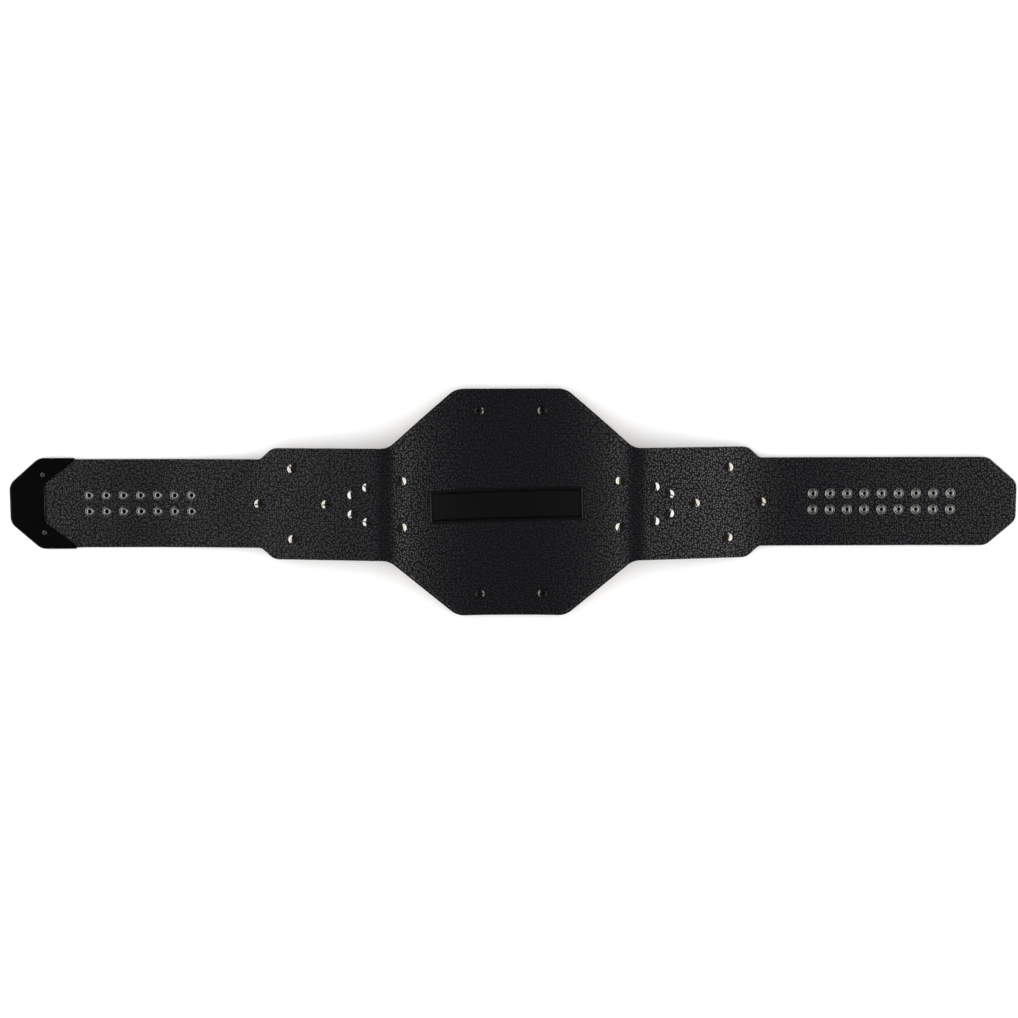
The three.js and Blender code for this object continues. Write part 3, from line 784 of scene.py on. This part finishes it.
class BELT_OT_make_label(bpy.types.Operator):
    """Make the bare label patch in its recess"""

    bl_idname = "belt.make_label"
    bl_label = "Make Label"

    def execute(self, context):
        leather, label, _, _ = settings()
        top = leather.thickness - label.sunk
        under = -label.thickness / MM
        edge = [(4, under), (0.2, under), (0, under + 0.2), (0, -0.35), (0.1, -0.12), (0.4, -0.02), (0.9, 0)]
        frame_line = [(2.2, 0), (2.5, -0.16), (3.1, -0.2), (3.7, -0.16), (4.0, 0), (6.0, 0)]
        profile = [(by * MM, top + up * MM) for by, up in edge + frame_line]
        points, faces = slab(label_sides(label, 0), profile)
        mesh = mesh_of("label_leather", lay_label(points, label), faces)
        bend_mesh(mesh)
        mesh.materials.append(label_material(label))
        add_piece("leather_patch", mesh, ["label_patch"])
        return {"FINISHED"}


# Tip cap

class BELT_OT_make_tip_cap(bpy.types.Operator):
    """Make the notched tip cap and its two screws"""

    bl_idname = "belt.make_tip_cap"
    bl_label = "Make Tip Cap"

    def execute(self, context):
        leather, _, metal, _ = settings()
        t, gap, wall = leather.thickness, metal.gap, metal.cap_wall
        end = strap_corners(leather)[:3]
        mouth = end[0].along - gap - wall + metal.cap_length

        def outline(clearance, stop):
            corners = [*end, Corner(stop, leather.tail_half), Corner(stop, 0)]
            moved = inset(corners, -clearance)
            return moved[:3] + [corner._replace(along=stop) for corner in moved[3:]]

        low, high = -gap - wall, t + gap + wall
        rounding = [
            (4, 0), (1.6, 0.0), (0.9, 0.1), (0.4, 0.32), (0.1, 0.7), (0, 1.1),
        ]
        profile = [(by * MM, low + up * MM) for by, up in rounding]
        profile += [(by * MM, high - up * MM) for by, up in reversed(rounding)]
        body = mesh_of("cap_body", *slab(sides_of(outline(gap + wall, mouth), 4 * MM, 20), profile))
        past = 3 * MM
        pocket_profile = [(4 * MM, -gap), (0, -gap), (0, t + gap), (4 * MM, t + gap)]
        pocket = mesh_of(
            "cap_pocket", *slab(sides_of(outline(gap, mouth + past), 4 * MM, 20), pocket_profile)
        )
        mouth_half = leather.tail_half - 2 * MM
        slope = (mouth_half - metal.notch_end_half) / metal.notch_depth
        start = mouth - metal.notch_depth
        notch_corners = [
            Corner(start, 0),
            Corner(start, metal.notch_end_half, 3 * MM),
            Corner(mouth + past, mouth_half + slope * past),
            Corner(mouth + past, 0),
        ]
        notch_profile = [(2 * MM, low - MM), (0, low - MM), (0, high + MM), (2 * MM, high + MM)]
        notch = mesh_of("cap_notch", *slab(sides_of(notch_corners, 4 * MM, 12), notch_profile))
        lip = 0.6 * MM
        mesh = cut(cut(body, [pocket]), [notch], bevel=lip)

        # The bare metal of the lip is partly rubbing and partly a painted highlight.
        def is_rubbed_and_highlit(along, across, out):
            return start - lip < along < start and abs(across) < metal.notch_end_half and out > high - lip

        in_two(mesh, cap_material(metal), lip_material(metal), is_rubbed_and_highlit)
        bend_mesh(mesh)
        add_piece("gloss_tip_cap", mesh, ["tip_cap"], sharp=45)
        self.add_screws(metal, high)
        return {"FINISHED"}

    def add_screws(self, metal, high):
        profile = [
            (0, -5.5), (1.1, -5.5), (1.1, -0.2), (2.5, -0.2), (2.75, 0.05), (2.8, 0.35), (2.65, 0.75),
            (2.3, 1.05), (1.9, 1.15), (1.5, 1.05), (1.3, 0.7), (1.2, 0.1), (0, 0.05),
        ]
        points, faces = lathe([(radius * MM, height * MM) for radius, height in profile], 32)
        mesh = mesh_of("tip_screw_turned", points, faces)
        # The tip screws take the darker nickel as painted shade.
        plain_metal = metal_material("tip_screw_nickel", metal.shaded_nickel, 0.3, 0.45)
        hollow_shade = metal_material("tip_screw_hollow_shade", metal.hollow_shade, 0.4, 0.6)
        # The hollow in the head's middle is painted dark as shade.
        in_two(mesh, plain_metal, hollow_shade, lambda x, y, z: math.hypot(x, y) < 1.35 * MM and z > 0)
        for node in nodes_named("tip_screw"):
            along, across = flat_place(node)
            matrix = lie.seat(along, across, high)
            add_piece(f"nickel_{node}", mesh, [node], matrix=matrix)


# Plates

def rimmed_profile(thickness, relief, rim, gap):
    """From the front's sunk field, over the raised rim and round the edge, to the plate's back."""
    field, top, back = -gap - thickness, -gap - thickness - relief, -gap
    return dense([
        (rim + 3 * MM, field), (rim + 0.4 * MM, field), (rim, field - 0.15 * relief),
        (rim - 0.5 * MM, top + 0.2 * relief), (rim - 1.3 * MM, top), (1.4 * MM, top),
        (0.5 * MM, top + 0.15 * relief), (0.1 * MM, top + 0.4 * relief), (0, field),
        (0, back - 0.6 * MM), (0.3 * MM, back - 0.1 * MM), (0.9 * MM, back), (rim + 3 * MM, back),
    ], 5 * MM)


def gilt_piece(name, points, faces, fields, polished, stippled, nodes):
    """A bent plate, polished except where it lies at the level of one of its sunk fields."""
    mesh = mesh_of(name, points, faces)
    in_two(mesh, polished, stippled, lambda x, y, z: any(abs(z - field) < 0.06 * MM for field in fields))
    bend_mesh(mesh)
    add_piece(name, mesh, nodes, sharp=50)


class BELT_OT_make_plates(bpy.types.Operator):
    """Make the five metal plates on the belt's front"""

    bl_idname = "belt.make_plates"
    bl_label = "Make Plates"

    def execute(self, context):
        leather, _, metal, _ = settings()
        polished = metal_material("polished_gold", metal.gold, 0.16, 0.28)
        stippled = field_material(metal)
        self.add_centre(leather, metal, polished, stippled)
        for side, word in ((-1, "left"), (1, "right")):
            self.add_side(metal, side, word, polished, stippled)
            self.add_bar(metal, side, word, polished, stippled)
        return {"FINISHED"}

    def add_centre(self, leather, metal, polished, stippled):
        gap, thick, relief = metal.gap, metal.plate_thickness, metal.plate_relief
        half = [
            Corner(-leather.panel_foot, 0),
            Corner(-leather.panel_foot, leather.shoulder_half, 24 * MM),
            Corner(-leather.panel_top_half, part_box("strap")[1].y, 24 * MM),
        ]
        corners = inset(half + mirrored(half), metal.plate_margin)
        field = -gap - thick
        sides = sides_of(corners, 4 * MM, 40)
        points, faces = slab(sides, rimmed_profile(thick, relief, metal.rim, gap))
        gilt_piece("gilt_centre_plate", points, faces, [field], polished, stippled, ["centre_plate"])
        top, floor = field - relief, field - 1.2 * MM
        radius, boss = metal.medallion, metal.medallion - metal.boss
        profile = dense([
            (boss + 8 * MM, top), (boss + 2.2 * MM, top), (boss + 0.8 * MM, top + 0.25 * MM),
            (boss, top + 0.9 * MM), (boss - 0.3 * MM, floor), (8.4 * MM, floor),
            (8 * MM, floor - 0.2 * MM), (7.3 * MM, top + 0.25 * MM), (6.2 * MM, top), (1.6 * MM, top),
            (0.5 * MM, top + 0.25 * MM), (0, top + 0.9 * MM), (0, field + 0.1 * MM),
            (9 * MM, field + 0.1 * MM),
        ], 5 * MM)
        points, faces = slab(disc_sides(radius, 28), profile)
        gilt_piece("gilt_medallion", points, faces, [floor], polished, stippled, ["centre_plate"])

    def add_side(self, metal, side, word, polished, stippled):
        gap, thick, relief = metal.gap, 3 * MM, 1.4 * MM
        half = [
            Corner(-55 * MM, 0),
            Corner(-55 * MM, 22 * MM, 8 * MM),
            Corner(-24 * MM, 60 * MM, 10 * MM),
        ]
        middle = side * metal.side_middle
        field = -gap - thick
        corners = half + mirrored(half)
        points, faces = slab(sides_of(corners, 4 * MM, 20), rimmed_profile(thick, relief, 5.5 * MM, gap))
        points[:, 0] += middle
        node = f"side_plate_{word}"
        gilt_piece(f"gilt_{node}", points, faces, [field], polished, stippled, [node])
        top = field - relief
        profile = dense([
            (12 * MM, top), (2.5 * MM, top), (1.1 * MM, top + 0.15 * MM), (0.3 * MM, top + 0.5 * MM),
            (0, top + 0.9 * MM), (0, field + 0.1 * MM), (6 * MM, field + 0.1 * MM),
        ], 4 * MM)
        points, faces = slab(disc_sides(19 * MM, 16, middle), profile)
        gilt_piece(f"gilt_boss_{word}", points, faces, [], polished, stippled, [node])

    def add_bar(self, metal, side, word, polished, stippled):
        gap, thick, relief = metal.gap, 3 * MM, 1.2 * MM
        inner, outer = metal.bar_middle - 21.5 * MM, metal.bar_middle + 21.5 * MM
        corners = [
            Corner(inner, 0),
            Corner(inner, 37 * MM, 6 * MM),
            Corner(outer, 26 * MM, 6 * MM),
            Corner(outer, 0),
        ]
        if side < 0:
            corners = mirrored(corners)
        points, faces = slab(sides_of(corners, 3 * MM, 20), rimmed_profile(thick, relief, 4 * MM, gap))
        node = f"bar_plate_{word}"
        gilt_piece(f"gilt_{node}", points, faces, [-gap - thick], polished, stippled, [node])


# Plate screws

SLOT_TURNS = {
    "centre_screw": (-60, -70, 10, 0, 90, 20, 90, 60),
    "left_screw": (15, -50, 80, 8),
    "right_screw": (-56, -80, 75, -30),
}


class BarScrew(NamedTuple):
    """A bar plate's screw, from the plate's middle away from the belt's middle, and across."""

    run: float
    across: float
    turn: float


BAR_SCREWS = {
    "left": (
        BarScrew(-9.5, 22.6, -35), BarScrew(-9.5, -22.6, -17),
        BarScrew(10.5, 12.6, -75), BarScrew(10.5, -12.6, 40),
    ),
    "right": (
        BarScrew(-9.5, 22.6, -70), BarScrew(-9.5, -22.6, 80),
        BarScrew(10.5, 12.6, -30), BarScrew(10.5, -12.6, 70),
    ),
}


def screw_mesh(metal, nickel, hollow_shade):
    """A domed screw head above its shank, with a slot whose floor is painted dark as shade."""
    radius, height = metal.screw_radius, metal.screw_height
    edge, foot = 1.0 * MM, -0.3 * MM
    rise = height - edge
    sphere = (radius ** 2 + rise ** 2) / (2 * rise)
    widest = math.asin(radius / sphere)
    dome = [
        (sphere * math.sin(a), height - sphere * (1 - math.cos(a)))
        for a in np.linspace(widest, 0, 14)[1:-1]
    ]
    profile = [
        (0, -5.2 * MM), (2.1 * MM, -5.2 * MM), (2.1 * MM, foot), (radius - 0.3 * MM, foot),
        (radius, foot + 0.25 * MM), (radius, edge - 0.1 * MM), (radius - 0.08 * MM, edge + 0.05 * MM),
        *dome, (0, height),
    ]
    body = mesh_of("screw_body", *lathe(profile, 56))
    half = metal.slot_width / 2
    reach, floor, lid = radius * 1.2, height - 1.15 * MM, height + MM
    ends = [(-reach, -half), (reach, -half), (reach, half), (-reach, half)]
    corners = [(x, y, z) for z in (floor, lid) for x, y in ends]
    box = [(3, 2, 1, 0), (4, 5, 6, 7), (0, 1, 5, 4), (1, 2, 6, 5), (2, 3, 7, 6), (3, 0, 4, 7)]
    mesh = cut(body, [mesh_of("screw_slot", corners, box)], bevel=0.12 * MM)
    # The slot's floor is painted dark as shade.
    in_two(mesh, nickel, hollow_shade, lambda x, y, z: abs(z - floor) < 0.02 * MM and abs(y) < half)
    return mesh


class BELT_OT_make_screws(bpy.types.Operator):
    """Make the slotted screws that hold the plates"""

    bl_idname = "belt.make_screws"
    bl_label = "Make Screws"

    def execute(self, context):
        leather, _, metal, _ = settings()
        seat = leather.thickness + metal.gap
        hollow_shade = metal_material("slot_shade", metal.hollow_shade, 0.4, 0.6)
        warm = screw_mesh(metal, metal_material("warm_nickel", metal.nickel, 0.1, 0.2), hollow_shade)
        # A lighter copy of the nickel, as a painted highlight.
        lit_screw = screw_mesh(metal, metal_material("lit_nickel", metal.lit_nickel, 0.08, 0.18), hollow_shade)
        # A darker copy of the nickel, as painted shade.
        shaded_screw = screw_mesh(metal, metal_material("shaded_nickel", metal.shaded_nickel, 0.16, 0.3), hollow_shade)
        for start, turns in SLOT_TURNS.items():
            for number, turn in enumerate(turns, 1):
                node = f"{start}_{number}"
                along, across = flat_place(node)
                matrix = lie.seat(along, across, seat, turn)
                # The panel's outer screws take the darker nickel as painted shade.
                mesh = shaded_screw if abs(across) > leather.shoulder_half else warm
                add_piece(f"nickel_{node}", mesh, [node], matrix=matrix)
        for side, (word, screws) in zip((-1, 1), BAR_SCREWS.items()):
            for number, screw in enumerate(screws, 1):
                along = side * (metal.bar_middle + screw.run * MM)
                matrix = lie.seat(along, screw.across * MM, seat, screw.turn)
                name = f"nickel_bar_screw_{word}_{number}"
                add_piece(name, lit_screw, [f"bar_plate_{word}"], matrix=matrix)
        return {"FINISHED"}


# Press fasteners, as profiles in millimetres of radius and height above their seat

SOCKET_PROFILE = [
    (0, -4.9), (3.5, -4.9), (5.0, -4.75), (5.9, -4.45), (6.4, -4.0), (6.5, -3.7), (2.6, -3.6),
    (2.6, -0.3), (6.2, -0.3), (6.45, -0.1), (6.5, 0.25), (6.4, 0.55), (6.15, 0.7), (5.9, 0.55),
    (5.75, 0.15), (5.6, -0.1), (5.1, -0.1), (4.9, 0.2), (4.75, 0.9), (4.55, 1.45), (4.2, 1.9),
    (3.75, 2.15), (3.4, 2.2), (3.0, 2.1), (2.7, 1.8), (2.5, 1.3), (2.4, 0.6), (2.4, -2.0), (0, -2.0),
]
STUD_PROFILE = [
    (0, -7.4), (1.5, -7.35), (2.05, -7.1), (2.2, -6.7), (2.1, -6.3), (1.8, -5.9), (1.75, -5.4),
    (2.1, -4.9), (3.2, -4.65), (4.8, -4.5), (5.3, -4.2), (5.4, -3.8), (2.6, -3.6), (2.6, -0.3),
    (6.2, -0.3), (6.45, -0.1), (6.5, 0.35), (6.4, 0.8), (6.1, 1.05), (5.8, 0.95), (5.6, 0.5),
    (5.4, 0.1), (5.0, 0.05), (4.75, 0.35), (4.5, 0.8), (4.05, 1.15), (3.5, 1.3), (3.0, 1.25),
    (2.55, 1.0), (2.25, 0.6), (2.05, 0.0), (2.0, -2.2), (0, -2.2),
]


class BELT_OT_make_snaps(bpy.types.Operator):
    """Make the press fastener sockets and studs"""

    bl_idname = "belt.make_snaps"
    bl_label = "Make Snaps"

    def execute(self, context):
        leather, _, metal, _ = settings()
        seat = leather.thickness + metal.gap
        plain_metal = metal_material("snap_nickel", metal.snap_nickel, 0.2, 0.34)
        hollow_shade = metal_material("snap_hollow_shade", metal.hollow_shade, 0.4, 0.6)
        for start, profile in (("socket", SOCKET_PROFILE), ("stud", STUD_PROFILE)):
            rows = [(radius * MM, height * MM) for radius, height in profile]
            mesh = mesh_of(f"{start}_turned", *lathe(rows, 40))
            # The middle hole and the groove inside the rim are painted dark as shade.
            in_two(mesh, plain_metal, hollow_shade, self.is_shaded_hollow)
            for node in nodes_named(start):
                along, across = flat_place(node)
                matrix = lie.seat(along, across, seat)
                add_piece(f"nickel_{node}", mesh, [node], matrix=matrix)
        return {"FINISHED"}

    @staticmethod
    def is_shaded_hollow(x, y, z):
        """Whether a place is in the fastener's middle hole or in the groove inside its rim, the places
        painted dark as shade.
        """
        radius = math.hypot(x, y) / MM
        return -3 * MM < z < 0.8 * MM and (radius < 2.3 or 4.95 < radius < 5.65)


# Stage

class BELT_OT_set_stage(bpy.types.Operator):
    """Set out the floor, the lights and the camera"""

    bl_idname = "belt.set_stage"
    bl_label = "Set Stage"

    def execute(self, context):
        *_, stage = settings()
        self.add_floor(stage)
        self.add_lights(stage)
        self.add_camera(stage)
        context.scene.view_settings.view_transform = "Standard"
        return {"FINISHED"}

    def add_floor(self, stage):
        half = stage.floor_half
        corners = [(-half, -half, 0), (half, -half, 0), (half, half, 0), (-half, half, 0)]
        mesh = mesh_of("floor", corners, [(0, 1, 2, 3)])
        mesh.materials.append(Nodes("pale_floor", tuple(stage.floor), 0.9).material)
        floor = bpy.data.objects.new("studio_floor", mesh)
        floor.location.z = -0.2 * MM
        bpy.context.scene.collection.objects.link(floor)

    def add_lights(self, stage):
        """A softbox past each end of the belt, tilted down to it, and a wide fill overhead."""
        self.add_room(stage)
        for run in (stage.left_light, stage.right_light):
            stand = Vector((run, 0.0, stage.light_height))
            aim = stand + Vector((-math.copysign(1, run), 0.0, -1))
            self.add_softbox(stand, aim, (3.0, 1.84), stage.side_light)
        above = Vector((0, 0, stage.fill_height))
        fill = self.add_softbox(above, Vector(), (14.0, 14.0), stage.top_light)
        fill.visible_glossy = False

    def add_room(self, stage):
        """A room that is dark above and pale round the horizon."""
        world = bpy.data.worlds.new("studio")
        world.use_nodes = True
        nodes, links = world.node_tree.nodes, world.node_tree.links
        ways = nodes.new("ShaderNodeSeparateXYZ")
        height = nodes.new("ShaderNodeMapRange")
        height.interpolation_type = "SMOOTHSTEP"
        height.inputs["From Min"].default_value = 0.12
        height.inputs["From Max"].default_value = 0.34
        height.inputs["To Min"].default_value = stage.walls
        height.inputs["To Max"].default_value = stage.ceiling
        links.new(nodes.new("ShaderNodeTexCoord").outputs["Generated"], ways.inputs["Vector"])
        links.new(ways.outputs["Z"], height.inputs["Value"])
        links.new(height.outputs["Result"], nodes["Background"].inputs["Strength"])
        nodes["Background"].inputs["Color"].default_value = (1, 1, 1, 1)
        bpy.context.scene.world = world

    def add_softbox(self, stand, aim, size, watts):
        lamp = bpy.data.lights.new("softbox", "AREA")
        lamp.shape = "RECTANGLE"
        lamp.size, lamp.size_y = size
        lamp.energy = watts
        box = bpy.data.objects.new("softbox", lamp)
        box.location = stand
        box.rotation_euler = (aim - stand).to_track_quat("-Z", "Y").to_euler()
        bpy.context.scene.collection.objects.link(box)
        return box

    def add_camera(self, stage):
        lens = bpy.data.cameras.new("photo")
        lens.angle = 2 * math.atan(stage.view_width / 2 / stage.distance)
        camera = bpy.data.objects.new("photo_camera", lens)
        offset = stage.distance * math.tan(stage.lean)
        camera.matrix_world = (
            Matrix.Translation((stage.aim_x, stage.aim_y + offset, stage.distance))
            @ Matrix.Rotation(-stage.lean, 4, "X")
            @ Matrix.Rotation(-stage.roll, 4, "Z")
        )
        bpy.context.scene.collection.objects.link(camera)
        bpy.context.scene.camera = camera


class BELT_PT_panel(bpy.types.Panel):
    """The belt's sizes, colours and makers"""

    bl_idname = "BELT_PT_panel"
    bl_label = "Title Belt"
    bl_space_type = "VIEW_3D"
    bl_region_type = "UI"
    bl_category = "Title Belt"

    def draw(self, context):
        for operator in OPERATORS:
            self.layout.operator(operator.bl_idname)
        for group in settings():
            box = self.layout.box()
            for name in group.__annotations__:
                box.prop(group, name)


OPERATORS = (
    BELT_OT_make_strap,
    BELT_OT_make_label,
    BELT_OT_make_tip_cap,
    BELT_OT_make_plates,
    BELT_OT_make_screws,
    BELT_OT_make_snaps,
    BELT_OT_set_stage,
)
GROUPS = {
    "belt_leather": BeltLeather,
    "belt_label": BeltLabel,
    "belt_metal": BeltMetal,
    "belt_stage": BeltStage,
}


def register():
    for cls in (*GROUPS.values(), *OPERATORS, BELT_PT_panel):
        bpy.utils.register_class(cls)
    for name, group in GROUPS.items():
        setattr(bpy.types.Scene, name, bpy.props.PointerProperty(type=group))


def unregister():
    for name in GROUPS:
        delattr(bpy.types.Scene, name)
    for cls in reversed((*GROUPS.values(), *OPERATORS, BELT_PT_panel)):
        bpy.utils.unregister_class(cls)


def main():
    register()
    bpy.ops.belt.make_strap()
    bpy.ops.belt.make_label()
    bpy.ops.belt.make_tip_cap()
    bpy.ops.belt.make_plates()
    bpy.ops.belt.make_screws()
    bpy.ops.belt.make_snaps()
    bpy.ops.belt.set_stage()


if __name__ == "__main__":
    main()
